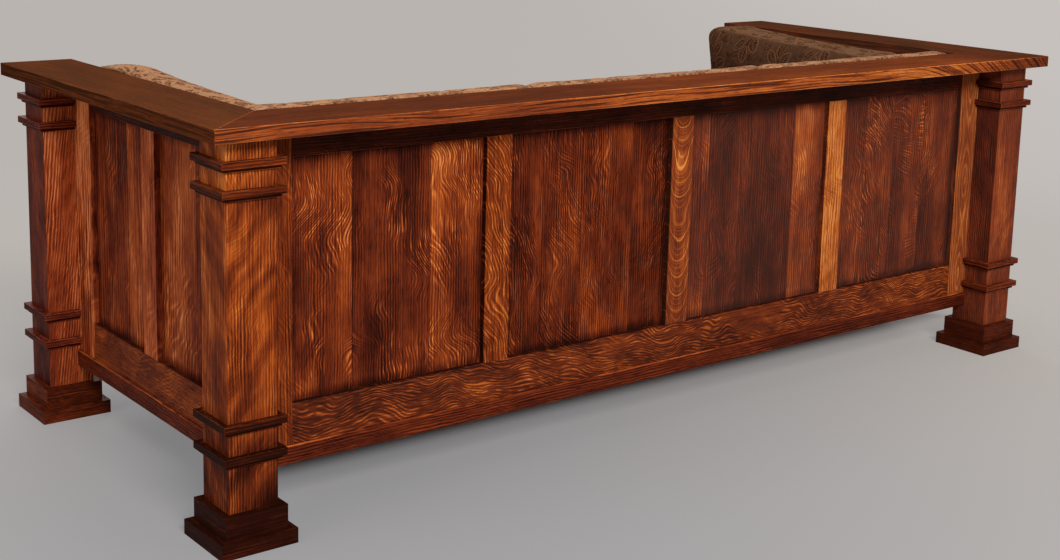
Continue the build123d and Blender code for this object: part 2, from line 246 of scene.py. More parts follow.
def leanWay(lean):
    # cosine and sine of a lean in degrees, which is a number or changes from board to board
    if isinstance(lean, Signal):
        angle = lean * (math.pi / 180)
        return angle.cosine(), angle.sine()
    return math.cos(math.radians(lean)), math.sin(math.radians(lean))


def tilted(along, across, lean):
    # the same place, in coordinates along and beside a line that leans from the grain
    cosine, sine = leanWay(lean)
    return along * cosine + across * sine, across * cosine - along * sine


# Triples are a noise's rates, pairs the levels between which something fades in.
rayLook = {
    "bend": (8.0, 6.0, 5.0), "patch": (6.0, 13.0, 5.0), "patchEdge": (-0.04, 0.16),
    "strayAlong": 24.0, "strayAcross": 0.7, "strayDeep": 9.0, "stray": 9.0,
    "breakAcross": 0.55, "breakDeep": 14.0, "breaks": (0.40, 0.56),
    "bright": (0.1, 0.95), "light": 0.26, "shadow": (0.0, 0.9), "dark": 0.10,
}


def rayFlecks(finish, board, look):
    # fine bright rays that lie side by side like combed hair, bend with the board and come in patches
    along, across, deep = board
    gap, ray = look["fleckGap"], rayLook
    bend = finish.noise(board, ray["bend"])
    run, side = tilted(along, across, look["fleckLean"])
    side = side + (bend - 0.5) * look["fleckBend"]
    stray = finish.noise((run, side, deep), (ray["strayAlong"], ray["strayAcross"] / gap, ray["strayDeep"]))
    wave = (side * (2 * math.pi / gap) + stray * ray["stray"]).sine()
    rates = (1 / look["fleckLength"], ray["breakAcross"] / gap, ray["breakDeep"])
    broken = finish.noise((run, side + 3.3, deep), rates).eased(*ray["breaks"])
    low, high = (look["fleckPatch"] + level for level in ray["patchEdge"])
    patch = finish.noise(board, ray["patch"]).eased(low, high)
    light = wave.eased(*ray["bright"]) * broken * ray["light"]
    return (light - (0.0 - wave).eased(*ray["shadow"]) * ray["dark"]) * patch


lineLook = {
    "sway": (8.0, 55.0, 20.0), "swayBy": 8.0, "wobble": (30.0, 40.0, 9.0), "wobbleBy": 5.0,
    "strength": (5.0, 26.0, 20.0), "fades": (0.32, 0.68), "least": 0.2,
}


def growthLines(finish, board, look):
    # crisp even lines that sway a little, and fade in and out along the board
    sway = finish.noise(board, lineLook["sway"]) * lineLook["swayBy"]
    wobble = finish.noise(board, lineLook["wobble"]) * lineLook["wobbleBy"]
    strength = finish.noise(board, lineLook["strength"]).eased(*lineLook["fades"])
    wave = (board[1] * (2 * math.pi / look["lineGap"]) + sway + wobble).sine()
    return wave * (strength * (1 - lineLook["least"]) + lineLook["least"]) * look["lineDepth"]


bandsLook = {"bend": (5.0, 8.0, 4.0), "bendBy": 0.08, "rates": (9.0, 34.0, 9.0)}


def wateredBands(finish, board, look):
    # broad soft bands of light across the grain
    along, across, deep = board
    bend = finish.noise(board, bandsLook["bend"])
    run, side = tilted(along, across, look["wateredLean"])
    side = side + (bend - 0.5) * bandsLook["bendBy"]
    return (finish.noise((run, side, deep), bandsLook["rates"], 1.5) - 0.5) * look["watered"]


loopLook = {
    "wander": (9.0, 11.0, 5.0), "round": 0.6, "pointed": 0.4, "spacing": 17.0, "spacingBy": 0.07,
    "bold": (0.88, 0.99), "boldBy": 0.17, "faint": (0.5, 1.0), "faintBy": 0.11, "faintGap": 0.29,
    "tongue": (0.04, 0.6), "tongueBy": 0.14, "level": -0.05,
}


def nestedLoops(finish, board, look):
    # tongues of grain one inside the other, from a board cut across its rings
    along, across, deep = board
    wander = finish.noise(board, loopLook["wander"], 1.5)
    bowl = (across - look["centre"]) * (1 / look["halfWide"])
    bowl = bowl * bowl
    curve = (bowl * loopLook["round"] + bowl * bowl * loopLook["pointed"]) * look["bowl"]
    spacing = finish.noise((along, 0.0, 0.0), (loopLook["spacing"], 1.0, 1.0))
    rings = along - curve + (wander - 0.5) * look["loopDrift"] + (spacing - 0.5) * loopLook["spacingBy"]
    turns = 2 * math.pi / look["loopGap"]
    bold = (rings * turns).sine().eased(*loopLook["bold"])
    faint = (rings * (turns / loopLook["faintGap"])).sine().eased(*loopLook["faint"])
    tongue = (1.0 - bowl.eased(*loopLook["tongue"])) * look["tongue"](along)
    lines = bold * loopLook["boldBy"] + faint * loopLook["faintBy"] + loopLook["level"]
    return lines + tongue * loopLook["tongueBy"]


ovalLook = {"wander": (3.0, 8.0, 5.0), "wanderBy": 0.012, "bright": (0.2, 1.0), "light": 0.16, "level": -0.05}


def growthOvals(finish, board, look):
    # long ovals of a plain sawn board
    along, across, deep = board
    wander = finish.noise(board, ovalLook["wander"])
    middle = (along * (2 * math.pi / look["ovalLength"])).sine() * look["ovalReach"]
    out = across - look["centre"]
    reach = (out * out + middle * middle).root() + (wander - 0.5) * ovalLook["wanderBy"]
    wave = (reach * (2 * math.pi / look["loopGap"])).sine()
    return wave.eased(*ovalLook["bright"]) * ovalLook["light"] + ovalLook["level"]


figures = {"rays": rayFlecks, "loops": nestedLoops, "ovals": growthOvals}


def boardLooks(finish, look, node, grain, thin):
    # what changes from one glued board to the next, and a thin dark line at each joint
    low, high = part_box(node)
    wide = "xyz".index(next(a for a in "xyz" if a not in (grain, thin)))
    size = high[wide] - low[wide]
    share = (finish.place()[wide] - low[wide]) / size
    rows = sorted(look["boards"])
    stops = [(start, (tone, rays / 2, lean / 180 + 0.5, 1)) for start, tone, rays, lean in rows]
    stops = [stops[0], (1.0, stops[-1][1])] + stops[1:]
    chosen = finish.add("ShaderNodeValToRGB", {"stops": stops, "steps": "CONSTANT"}, {0: share})
    tone, rays, lean = finish.parts("ShaderNodeSeparateColor", {0: chosen})
    seam = reduce(Signal.atMost, [abs((share - row[0]) * size) for row in rows[1:]])
    seam = 1.0 - seam.eased(glueLine * 0.4, glueLine)
    return tone, rays * 2.0, (lean - 0.5) * 180.0, seam


# What all the oak has in common: rates, and how much each part counts
grainLook = {
    "wander": (2.4, 9.0, 9.0), "mottle": (16.0, 34.0, 34.0), "clouds": (3.4, 12.0, 12.0),
    "linesAlong": 6.0, "linesDeep": 20.0, "pores": (45.0, 1100.0, 60.0), "poreLevels": (0.56, 0.66),
    "rays": 1.6, "glue": 0.2, "rim": 0.22, "slant": (0.12, 0.45), "rubbedSides": 0.3,
    "lineHeight": 0.3, "poreHeight": 0.5, "rayHeight": 0.2, "poreRough": 0.2, "raySmooth": 0.2,
    "bumpStrength": 0.35, "bumpHeight": 0.0005,
}


def rimStainAndShade(finish, look):
    # how near the edge of a panel lies, from 0 to 1
    sides = [(spot, ends) for spot, ends in zip(finish.place(), look["rimBox"]) if ends]
    edge = reduce(Signal.atMost, [(spot - ends[0]).atMost(ends[1] - spot) for spot, ends in sides])
    return 1.0 - edge.eased(0.0, look["rim"])


def rubbedAndLitEdges(facing):
    # the slanting arrises, lightened by wear and by a painted highlight, most of all those that look up
    faceX, faceY, faceZ = facing
    slant = faceX.atMost(faceY).atLeast(faceX.atLeast(faceY).atMost(faceZ))
    return slant.eased(*grainLook["slant"]) * (grainLook["rubbedSides"] + faceZ)


def oakFinish(node, grain, thin, seed, changes):
    look = {**oakLook, **changes}
    finish = Finish(node + "_oak")
    shift = 0.83 * seed + 0.4   # another part of the tree for each piece
    along, across, deep = woodAxes(finish, grain, thin, shift)
    if look["shape"] != "rays":
        across = across - shift * 0.37
    tone = look["tone"]
    rays = look["flecks"] * grainLook["rays"]
    seam = 0.0
    if look["boards"]:
        tone, boardRays, look["fleckLean"], seam = boardLooks(finish, look, node, grain, thin)
        rays = boardRays * rays
        along = along + tone * 3.1
        deep = deep + boardRays * 1.7
    board = (along, across, deep)
    wander = finish.noise(board, grainLook["wander"])
    lined = across + deep * look["tilt"] + along * look["grainLean"] + (wander - 0.5) * look["drift"]
    rates = (grainLook["linesAlong"], 1 / look["grainGap"], grainLook["linesDeep"])
    linedBoard = (along, lined, deep)
    lines = finish.noise(linedBoard, rates, 2.0, 0.6)
    even = growthLines(finish, linedBoard, look)
    mottle = finish.noise(board, grainLook["mottle"], 2.0, 0.6)
    pores = finish.noise(linedBoard, grainLook["pores"]).eased(*grainLook["poreLevels"])
    clouds = finish.noise(board, grainLook["clouds"], 2.0)
    figure = figures[look["shape"]](finish, board, look) * rays
    light = (lines - 0.5) * look["grainDepth"] + (clouds - 0.5) * look["cloud"] + tone
    light = light + even + (mottle - 0.5) * look["mottle"] - pores * look["poreDepth"] + figure
    if look["watered"]:
        light = light + wateredBands(finish, board, look)
    if look["boards"]:
        light = light - seam * grainLook["glue"]
    if look["layers"]:
        light = light + look["layers"](finish)
    facing = finish.facing()
    # painted light and shade: a face that looks along X, Y or Z is made lighter or darker
    for share, change in zip(facing, look["turned"]):
        if change:
            light = light + share * change
    # painted shade, and painted light where the amount is below zero, fading along an axis
    for axis, full, end, change in look["shades"]:
        light = light - (1.0 - finish.place()[axis].eased(full, end)) * change
    # dark stain and painted shade where a panel meets its frame
    if look["rim"]:
        light = light - rimStainAndShade(finish, look) * grainLook["rim"]
    # wear and a painted highlight on the arrises, strongest where they look up
    if look["worn"]:
        light = light + rubbedAndLitEdges(facing) * look["worn"]
    colour = finish.ramp(stainStops, light)
    if look["redness"]:
        colour = finish.mix(look["redness"], colour, redWash, "MULTIPLY")
    # painted haze of reflected light
    if look["dust"]:
        colour = finish.mix(look["dust"], colour, reflectedHazeColour)
    # painted sheen on the edges and on faces that look up
    edgeHaze, topHaze = look["bloom"]
    if topHaze:
        colour = finish.mix(facing[2] * (topHaze - edgeHaze) + edgeHaze, colour, sheenHazeColour)
    height = lines * grainLook["lineHeight"] - pores * grainLook["poreHeight"]
    height = height + figure * grainLook["rayHeight"]
    bump = finish.bump(grainLook["bumpStrength"], grainLook["bumpHeight"], height)
    rough = pores * grainLook["poreRough"] + look["roughness"] - figure * grainLook["raySmooth"]
    finish.surface(Base_Color=colour, Roughness=rough, Specular_IOR_Level=look["sheen"], Normal=bump)
    return finish.material


def dressOak(node, grain, thin, seed, look, edge=0.0011, clamped=True):
    # gives a piece its oak and eases its edges
    piece = nodes[node]
    oak = oakFinish(node, grain, thin, seed, look)
    for slot in piece.material_slots:
        slot.material = oak
    piece.modifiers.new("closed", "WELD").merge_threshold = 0.00002
    softened = piece.modifiers.new("eased edges", "BEVEL")
    softened.width = edge
    softened.segments = 2
    softened.limit_method = "ANGLE"
    softened.angle_limit = math.radians(35)
    softened.use_clamp_overlap = clamped
    softened.harden_normals = False
    evened = piece.modifiers.new("even shading", "WEIGHTED_NORMAL")
    evened.keep_sharp = False


# Posts, their mouldings and plinths
postLook = {
    "tone": 0.50, "turned": (-0.06, 0, 0), "fleckLean": -30.0, "flecks": 0.2, "cloud": 0.8, "watered": 0.8,
    "wateredLean": -35.0, "lineDepth": 0.20, "worn": 0.34,
}
bandLook = {
    "tone": 0.36, "turned": (-0.12, 0, 0), "flecks": 0.2, "grainGap": 0.0026, "cloud": 0.4, "worn": 0.7,
}
plinthLook = {"tone": 0.10, "flecks": 0.2, "cloud": 0.35, "lineDepth": 0.05, "worn": 0.16}
postChanges = {
    "front_left": {},
    "front_right": {
        "tone": 0.465, "redness": 0.45, "turned": (-0.20, 0.20, 0), "watered": 0.3, "cloud": 0.9,
        "grainLean": 0.10, "grainGap": 0.0026, "lineGap": 0.0060, "lineDepth": 0.19,
    },
    "back_left": {"redness": 0.2, "dust": 0.12, "turned": (-0.18, 0, 0), "watered": 0.3},
    # the near post: painted shade towards its foot, and painted light above the lower of its top rings
    "back_right": {
        "tone": 0.63, "turned": (0.04, 0, 0), "shades": ((2, 0.12, 0.26, 0.28), (2, 0.603, 0.613, 0.14)),
    },
}
# the plinths' tones, partly painted light and shade; the near post's plinth darkest, where the light falls off
plinthToneAndShade = {"front_left": 0.16, "front_right": 0.29, "back_left": 0.20, "back_right": 0.05}
ringCoves = {"heights": (0.64925, 0.60125, 0.20925, 0.15275), "near": 0.0030, "far": 0.0040, "dark": 0.28}


def ringShadow(finish):
    # painted shadow in the small step under each ring
    z = finish.place()[2]
    away = reduce(Signal.atMost, [abs(z - height) for height in ringCoves["heights"]])
    return (1.0 - away.eased(ringCoves["near"], ringCoves["far"])) * -ringCoves["dark"]


for seed, (place, changes) in enumerate(postChanges.items()):
    shared = {key: value for key, value in changes.items() if key in ("shades", "redness")}
    dressOak("post_" + place, "z", "post", seed, {**postLook, **changes})
    dressOak("post_bands_" + place, "ring", "post", seed + 0.4, {**bandLook, **shared, "layers": ringShadow})
    dressOak("plinth_" + place, "ring", "post", seed + 0.7, {**plinthLook, "tone": plinthToneAndShade[place]}, 0.0014)
print("settle: posts finished")


# Rails, stiles and mullions of the back and the ends
railLook = {
    "tone": 0.43, "dust": 0.05, "turned": (0, 0, -0.25), "fleckLean": 10.0, "fleckLength": 0.026,
    "fleckGap": 0.0062, "flecks": 0.75, "fleckPatch": 0.30, "fleckBend": 0.12, "watered": 0.5,
    "wateredLean": 30.0, "lineDepth": 0.05,
}
# the top rail kept dark as painted shade under the cap's overhang
shadedTopRailLook = {"tone": 0.15, "flecks": 0.3, "lineDepth": 0.06}
stileLook = {"tone": 0.43, "turned": (-0.3, 0, 0), "flecks": 0.25}
nearMullionLook = {
    "tone": 0.47, "turned": (-0.4, 0, 0), "flecks": 0.65, "fleckLean": 14.0, "fleckLength": 0.028,
    "fleckGap": 0.0066, "fleckPatch": 0.26, "fleckBend": 0.12, "lineDepth": 0.05,
}
loopMullionLook = {
    "tone": 0.60, "dust": 0.10, "turned": (-0.45, 0, 0), "shape": "loops", "halfWide": 0.029,
    "bowl": 0.048, "loopGap": 0.040, "loopDrift": 0.035, "lineDepth": 0.03,
}
farMullionLook = {
    "tone": 0.80, "dust": 0.10, "turned": (-0.5, 0, 0), "flecks": 0.25, "cloud": 0.6, "watered": 0.3,
    "lineGap": 0.008,
}
ovalStileLook = {
    "tone": 0.68, "dust": 0.2, "turned": (-0.5, 0, 0), "shape": "ovals", "ovalLength": 0.46,
    "ovalReach": 0.020, "loopGap": 0.0085, "flecks": 0.8,
}
endStileLook = {
    "tone": 0.56, "turned": (0, -0.3, 0), "flecks": 0.25, "redness": 0.45, "cloud": 0.8,
    "lineGap": 0.012, "fleckGap": 0.014, "mottle": 0.55,
}
stripLook = {"tone": 0.30, "flecks": 0.15, "cloud": 0.3, "redness": 0.2, "worn": 0.28}


def middleOf(node, axis):
    low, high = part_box(node)
    return (low[axis] + high[axis]) / 2


def tongueAt(height, reach, seed):
    # where along a board a light tongue lies, which nestedLoops asks with its own shift
    return lambda along: 1.0 - abs(along - (height + 0.83 * seed + 0.4)).eased(reach * 0.4, reach)


backWood = {
    # painted shade towards the rail's near end
    "back_bottom_rail": ("x", 1, {**railLook, "shades": ((0, 0.9, -0.7, 0.14),)}),
    "back_top_rail": ("x", 2, shadedTopRailLook),
    "back_stile_right": ("z", 3, stileLook),
    "back_stile_left": ("z", 4, {**ovalStileLook, "centre": middleOf("back_stile_left", 0)}),
    "back_mullion_3": ("z", 5, nearMullionLook),
    "back_mullion_2": ("z", 6, {**loopMullionLook, "centre": middleOf("back_mullion_2", 0),
                                "tongue": tongueAt(0.555, 0.03, 6)}),
    "back_mullion_1": ("z", 7, farMullionLook),
    "back_foot_strip": ("x", 8, stripLook),
    "front_seat_rail": ("x", 9, railLook), "front_foot_strip": ("x", 10, stripLook),
}
for node, (grain, seed, look) in backWood.items():
    dressOak(node, grain, "y", seed, look)
for side, start in (("left", 11), ("right", 21)):
    endWood = {
        "bottom_rail": ("y", {**railLook, "flecks": 0.3, "tone": 0.45}),
        "top_rail": ("y", shadedTopRailLook),
        "stile_front": ("z", {**endStileLook, "tone": 0.76, "lineDepth": 0.26, "cloud": 1.3, "mottle": 0.8}),
        "stile_back": ("z", endStileLook),
        "mullion": ("z", {**endStileLook, "tone": 0.68}),
        "foot_strip": ("y", stripLook),
    }
    for step, (part, (grain, look)) in enumerate(endWood.items()):
        dressOak("end_" + side + "_" + part, grain, "x", start + step, look)
print("settle: frames finished")


# Panels, each glued up from boards
panelInset = 0.0085   # how much of a panel's edge is out of sight in its groove
panelLook = {"rim": 0.020, "redness": 0.15, "cloud": 1.0, "grainDepth": 0.55, "mottle": 0.45, "worn": 0}
endPanelLook = {"lineGap": 0.0105, "fleckGap": 0.013, "redness": 0.3}
farPanelLook = {"dust": 0.16, "lineGap": 0.0068, "fleckGap": 0.0080}
farPanels = ("back_panel_1", "back_panel_2")
panelBoards = {
    "back_panel_4": [(0.0, 0.53, 0.7, 15), (0.29, 0.32, 0.9, 10), (0.68, 0.455, 0.8, -14)],
    "back_panel_3": [(0.0, 0.33, 0.7, -22), (0.24, 0.37, 0.5, 8), (0.55, 0.33, 0.6, 25), (0.78, 0.37, 0.8, 16)],
    "back_panel_2": [(0.0, 0.64, 0.4, 12), (0.24, 0.20, 0.3, 30), (0.62, 0.25, 0.4, -20), (0.84, 0.37, 0.3, 20)],
    "back_panel_1": [(0.0, 0.35, 0.6, -40), (0.3, 0.36, 0.8, 75), (0.55, 0.38, 0.9, 35), (0.78, 0.36, 0.5, 20)],
    "end_right_panel_1": [(0.0, 0.46, 0.4, 20), (0.22, 0.41, 0.4, 12), (0.62, 0.56, 0.3, 12)],
    "end_right_panel_2": [(0.0, 0.65, 0.4, 15), (0.6, 0.40, 0.3, 12)],
    "end_left_panel_1": [(0.0, 0.36, 0.6, 20), (0.5, 0.40, 0.4, -20)],
    "end_left_panel_2": [(0.0, 0.40, 0.4, 15), (0.45, 0.34, 0.8, 25)],
}
for seed, (node, boards) in enumerate(panelBoards.items()):
    thin = "y" if node.startswith("back") else "x"
    changes = endPanelLook if thin == "x" else farPanelLook if node in farPanels else {}
    low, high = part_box(node)
    rim = [axis != thin and (low[i] + panelInset, high[i] - panelInset) for i, axis in enumerate("xyz")]
    look = {**panelLook, **changes, "boards": boards, "rimBox": rim}
    dressOak(node, "z", thin, 31 + seed, look, 0.0006)
print("settle: panels finished")


# Cap boards. Their edges show the growth lines as a few long dark streaks.
capLook = {
    "tone": 0.33, "flecks": 0.08, "lineDepth": 0.04, "mottle": 0.2, "tilt": 0.9, "drift": 0.02,
    "roughness": 0.6, "sheen": 0.0, "worn": 0.42,
}
streakLook = {
    "gap": 0.0036, "depth": 0.45, "light": 0.35, "levels": (0.47, 0.60),
    "wander": 2.6, "wanderBy": 0.035, "along": 5.0,
    "slantFrom": -0.55, "slant": 0.9,   # past this place the streaks bend up
    "facing": (0.3, 0.7),               # an edge turned up this far shows none
}


def edgeStreaks(grain):
    def streaks(finish):
        place = finish.place()
        run, z = place["xyz".index(grain)], place[2]
        wander = finish.noise((run, 0.0, 0.0), (streakLook["wander"], 1.0, 1.0))
        slant = (streakLook["slantFrom"] - run).atLeast(0.0)
        level = z + (wander - 0.5) * streakLook["wanderBy"] + slant * slant * streakLook["slant"]
        lines = finish.noise((run, level, 0.3), (streakLook["along"], 1 / streakLook["gap"], 1.0))
        dark = (1.0 - lines).eased(*streakLook["levels"])
        onEdge = 1.0 - finish.facing()[2].eased(*streakLook["facing"])
        return (streakLook["light"] - dark) * streakLook["depth"] * onEdge
    return streaks


capBoards = {
    "cap_back": ("x", {
        "turned": (0, 0.09, 0), "bloom": (0.04, 0.18), "dust": 0.10,
        # painted light over the far half of the cap, and painted shade at its far end
        "shades": ((0, -0.1, 0.5, -0.18), (0, -1.1, -0.75, 0.22)),
    }),
    "cap_arm_left": ("y", {"tone": 0.27, "turned": (-0.14, 0, -0.03), "bloom": (0.15, 0.30), "dust": 0.08}),
    "cap_arm_right": ("y", {
        "turned": (-0.16, 0.06, 0), "bloom": (0.20, 0.40), "shades": ((1, -0.45, -0.05, 0.07),),
    }),
}
for seed, (node, (grain, changes)) in enumerate(capBoards.items()):
    look = {**capLook, **changes, "layers": edgeStreaks(grain)}
    dressOak(node, grain, "z", 41 + seed, look, 0.0016, False)
dressOak("cap_mitre_keys", "x", "z", 45, {"tone": 0.45}, 0.0004)

# Deck under the cushions, plain oak with a light oil
deckLook = {"tone": 0.74, "flecks": 0.3, "roughness": 0.6}
deckPieces = (("deck_cleats", "x", "y"), ("deck_bearer", "x", "y"), ("deck_slats", "y", "z"))
for seed, (node, grain, thin) in enumerate(deckPieces):
    dressOak(node, grain, thin, 51 + seed, deckLook, 0.0008)


steelLook = {
    "brushed": (900.0, 900.0, 120.0), "rough": 0.34, "uneven": 0.2,
    "stops": [(0.3, paint(118, 112, 100)), (0.7, paint(168, 162, 148))],
}


def screwSteel():
    finish = Finish("screwSteel")
    brushed = finish.noise(finish.place(), steelLook["brushed"], 2.0)
    colour = finish.ramp(steelLook["stops"], brushed)
    rough = steelLook["rough"] + brushed * steelLook["uneven"]
    finish.surface(Base_Color=colour, Metallic=1.0, Roughness=rough)
    return finish.material


steel = screwSteel()
for slot in nodes["deck_screws"].material_slots:
    slot.material = steel
print("settle: cap and deck finished")


# Cushions: stuffed shapes, blown up inside their room, then piped along both edges
fabricLook = {
    "cell": (0.112, 0.138), "ribGap": 0.0075,
    "ground": paint(70, 39, 27), "leaf": paint(34, 17, 12), "line": paint(116, 74, 50),
    # the last two: a painted sheen on the cushion tops, and the pattern's darker marks within it
    "shade": paint(38, 20, 14), "crest": paint(216, 160, 120), "crestMark": paint(92, 54, 37),
    "sheenTint": paint(232, 186, 150), "speck": paint(150, 142, 136),
    "wobble": 22.0, "wobbleBy": 0.010, "bend": 38.0, "bendBy": 0.008,
    # the leaves of half a spray: middle, turn in degrees, half length, half width
    "leaves": (
        ((0.0, 0.048), 90, 0.020, 0.0105), ((0.021, 0.024), 52, 0.021, 0.0095),
        ((0.031, -0.008), 24, 0.022, 0.0100), ((0.020, -0.036), -22, 0.017, 0.0080),
        ((0.009, 0.004), 66, 0.014, 0.0050),
    ),
    "vein": (0.0004, 0.0016), "leafEdge": (-0.0004, 0.0006), "outline": (0.0008, 0.0019),
    "stem": (0.0008, 0.0022), "stemEnd": (0.024, 0.032),
    "curl": 30.0, "scroll": (0.008, 0.022), "scrollBy": 0.7, "blot": (0.60, 0.62),
    "pile": (520.0, 900.0, 30.0), "worn": (13.0, 13.0, 3.0), "mottle": (130.0, 130.0, 1.0),
    "bumpStrength": 0.55, "bumpHeight": 0.0012,
}


def leafShape(p, q, centre, turn, length, wide):
    # how far inside a pointed leaf a point lies, in metres
    c, s = math.cos(math.radians(turn)), math.sin(math.radians(turn))
    run = (p - centre[0]) * c + (q - centre[1]) * s
    side = (q - centre[1]) * c - (p - centre[0]) * s
    share = run * (1 / length)
    ribs = ((run - abs(side)) * (2 * math.pi / fabricLook["ribGap"])).sine()
    return (1.0 - share * share) * wide - abs(side), abs(side), ribs


def leafFabric():
    finish, cloth = Finish("leafFabric"), fabricLook
    where = finish.add("ShaderNodeAttribute", {"attribute_name": "clothPlace"}, {}, 1)
    s, t, crest = finish.parts("ShaderNodeSeparateXYZ", {0: where})
    wobble = finish.noise((s, t, 0.0), (cloth["wobble"], cloth["wobble"], 1.0))
    s = s + (wobble - 0.5) * cloth["wobbleBy"]
    wide, tall = cloth["cell"]
    column = (s / wide).floor()
    odd = (column * 0.5).fraction() * 2.0
    p = ((s / wide).fraction() - 0.5) * wide
    q = ((t / tall + odd * 0.5).fraction() - 0.5) * tall
    q = q * (1.0 - odd * 2.0)
    pair = abs(p + (q * cloth["bend"]).sine() * cloth["bendBy"])
    depths, veins = [], []
    for leaf in cloth["leaves"]:
        depth, spine, ribs = leafShape(pair, q, *leaf)
        depths.append(depth)
        drawn = (1.0 - spine.eased(*cloth["vein"])).atLeast(ribs.eased(0.3, 0.9) * 0.8)
        veins.append(drawn * depth.eased(0.0, 0.001))
    inside, vein = reduce(Signal.atLeast, depths), reduce(Signal.atLeast, veins)
    stem = (1.0 - pair.eased(*cloth["stem"])) * (1.0 - (q + 0.002).eased(*cloth["stemEnd"]))
    leaf = inside.eased(*cloth["leafEdge"])
    outline = 1.0 - abs(inside + 0.0016).eased(*cloth["outline"])
    curl = finish.noise((s, t, 0.0), (cloth["curl"], cloth["curl"], 1.0))
    scroll = (1.0 - abs(curl - 0.5).eased(*cloth["scroll"])) * (1.0 - leaf) * cloth["scrollBy"]
    pile = finish.noise((s, t, 0.0), cloth["pile"], 2.0, 0.7)
    worn = finish.noise((s, t, 0.0), cloth["worn"], 2.0)
    mottle = finish.noise((s, t, 0.0), cloth["mottle"], 2.0, 0.65)
    base = finish.mix((worn - 0.5) * 1.3 + mottle * 1.7 - 0.4, cloth["shade"], cloth["ground"])
    colour = finish.mix(scroll.atLeast(stem), base, cloth["leaf"])
    colour = finish.mix(leaf, colour, cloth["leaf"])
    colour = finish.mix(outline.atLeast(vein) * (mottle * 1.5), colour, cloth["line"])
    marked = leaf.atLeast(scroll).atLeast(curl.eased(*cloth["blot"])) * (mottle * 3.4 - 1.1)
    sheenPaint = finish.mix(marked, cloth["crest"], cloth["crestMark"])
    # painted sheen: the top of a standing cushion made pale where light catches it
    colour = finish.mix(crest * (0.72 + worn * 0.3), colour, sheenPaint)
    speck = finish.ramp([(0.25, cloth["speck"]), (0.7, (1, 1, 1, 1))], pile)
    colour = finish.mix(1.0, colour, speck, "MULTIPLY")
    height = pile * 0.6 + leaf * 0.5 + outline * 0.3
    bump = finish.bump(cloth["bumpStrength"], cloth["bumpHeight"], height)
    finish.surface(
        Base_Color=colour, Roughness=0.9 - outline * 0.1, Normal=bump, Specular_IOR_Level=0.0,
        Sheen_Weight=0.02, Sheen_Roughness=0.5, Sheen_Tint=cloth["sheenTint"],
    )
    return finish.material


fabric = leafFabric()
cushionLook = {
    "voxel": {"seat": 0.0090, "back": 0.0065, "arm": 0.0060},
    "mostMove": 0.024, "steps": 20, "shrink": 0.010,
    "pipe": 0.0040, "pipeSides": 8, "pipeTurn": 0.0035,
    "seamDepth": 0.0030, "seamReach": 0.013, "seamLevel": 0.012, "seamInset": 0.004, "seamCorner": 0.030,
    "press": 0.004,              # how far it sinks onto what carries it
    "full": 0.975,               # past this share of its room the cloth flattens against its neighbours
    "leaned": 0.12,              # how far back an arm cushion's front end sinks
    "slices": 16,                # where the top line of a standing cushion is measured
}
# How the painted sheen on the crest fades: down the side, where it turns to the seat, and as a faint rest
paintedSheenLook = {
    "reach": 0.055, "sharp": 3, "turned": 0.8, "from": 0.35, "over": 0.45, "by": 0.9,
    "faintReach": 0.1375, "faint": 0.14,
}
# Each kind: thickness axis, how much the stuffing lifts it along X, Y and Z,
# how far the cloth stands past the CAD box: inner face, front end, top,
# how far down the top rolls over and by what share of the thickness,
# and how hard its sides are pushed out against their room.
cushionKinds = {
    "seat": {"axis": 2, "swell": (0.6, 0.6, 1.0), "proud": (0.0, 0.0, 0.0), "roll": None, "fill": 1.035},
    "back": {
        "axis": 1, "swell": (0.5, 0.8, 0.25), "proud": (0.0, 0.0, 0.002), "roll": (0.070, 0.50),
        "fill": 1.0, "level": 0.9,   # how far the stuffing keeps its top level from end to end
    },
    "arm": {
        "axis": 0, "swell": (0.6, 0.7, 0.25), "proud": (0.012, 0.012, 0.003), "roll": (0.070, 0.45),
        "fill": 1.04,
    },
}
clothLook = {
    "quality": 5, "mass": 0.35, "tension_stiffness": 18, "compression_stiffness": 12,
    "shear_stiffness": 8, "bending_stiffness": 1.2,
    "use_pressure": True, "uniform_pressure_force": 4.0,
}
# How the two arm cushions lie: their own roll, how far the back end and the front end sink,
# and how strongly the painted sheen shows on the crest.
cushionLies = {
    "arm_cushion_left": {"roll": (0.028, 0.14), "sink": 0.012, "frontSink": 0.0, "faded": 0.24},
    "arm_cushion_right": {"roll": (0.080, 0.50), "sink": 0.010, "frontSink": 0.022},
}


def points(mesh, what="co"):
    spots = np.zeros(len(mesh.vertices) * 3)
    mesh.vertices.foreach_get(what, spots)
    return spots.reshape(-1, 3)


def baked(shape):
    return bpy.data.meshes.new_from_object(shape.evaluated_get(bpy.context.evaluated_depsgraph_get()))


def treeOf(spots):
    tree = KDTree(len(spots))
    for i, spot in enumerate(spots):
        tree.insert(spot, i)
    tree.balance()
    return tree


def startShell(node, kind):
    low, high = (np.array(corner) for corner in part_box(node))
    shell = bpy.data.objects.new(node + "_shell", nodes[node].data.copy())
    bpy.context.scene.collection.objects.link(shell)
    middle, size = (low + high) / 2, high - low
    spots = middle + (points(shell.data) - middle) * (1 - 2 * cushionLook["shrink"] / size)
    shell.data.vertices.foreach_set("co", spots.ravel())
    shell.modifiers.new("closed", "WELD").merge_threshold = 0.00002
    remesh = shell.modifiers.new("even", "REMESH")
    remesh.mode = "VOXEL"
    remesh.voxel_size = cushionLook["voxel"][kind]
    even = baked(shell)
    shell.modifiers.clear()
    shell.data = even
    return shell


